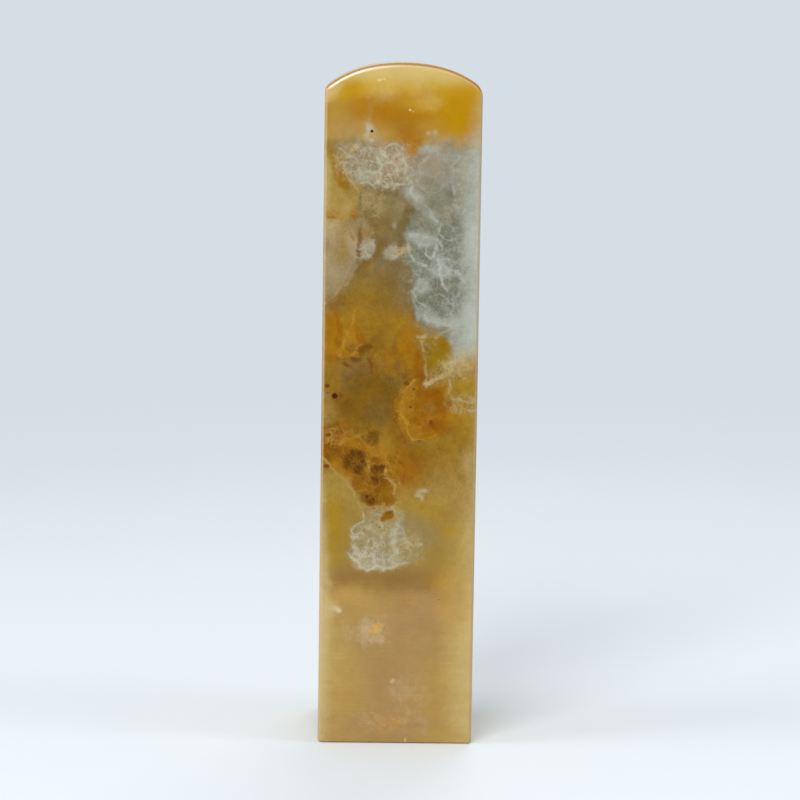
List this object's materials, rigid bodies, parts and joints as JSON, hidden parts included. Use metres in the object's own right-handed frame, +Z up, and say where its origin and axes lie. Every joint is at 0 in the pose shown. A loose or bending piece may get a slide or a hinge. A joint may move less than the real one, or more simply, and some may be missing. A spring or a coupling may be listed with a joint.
{
  "type": "seal stamp",
  "caption": "Square polished stone seal stamp with an arched crown, bevelled arrises and a flat uncarved seal face to stand on.",
  "frame": {"origin": "middle of the seal face, on the plane that the stone stands on", "axes": "+Z up along the stone from the seal face to the crown, -Y out of the front face, +X to the right of the front, across which the crown arches"},
  "size_m": [0.02, 0.02, 0.088],
  "materials": {
    "figured_stone": "polished"
  },
  "bodies": {
    "root": {"seal_stone": "figured_stone"}
  },
  "joints": []
}
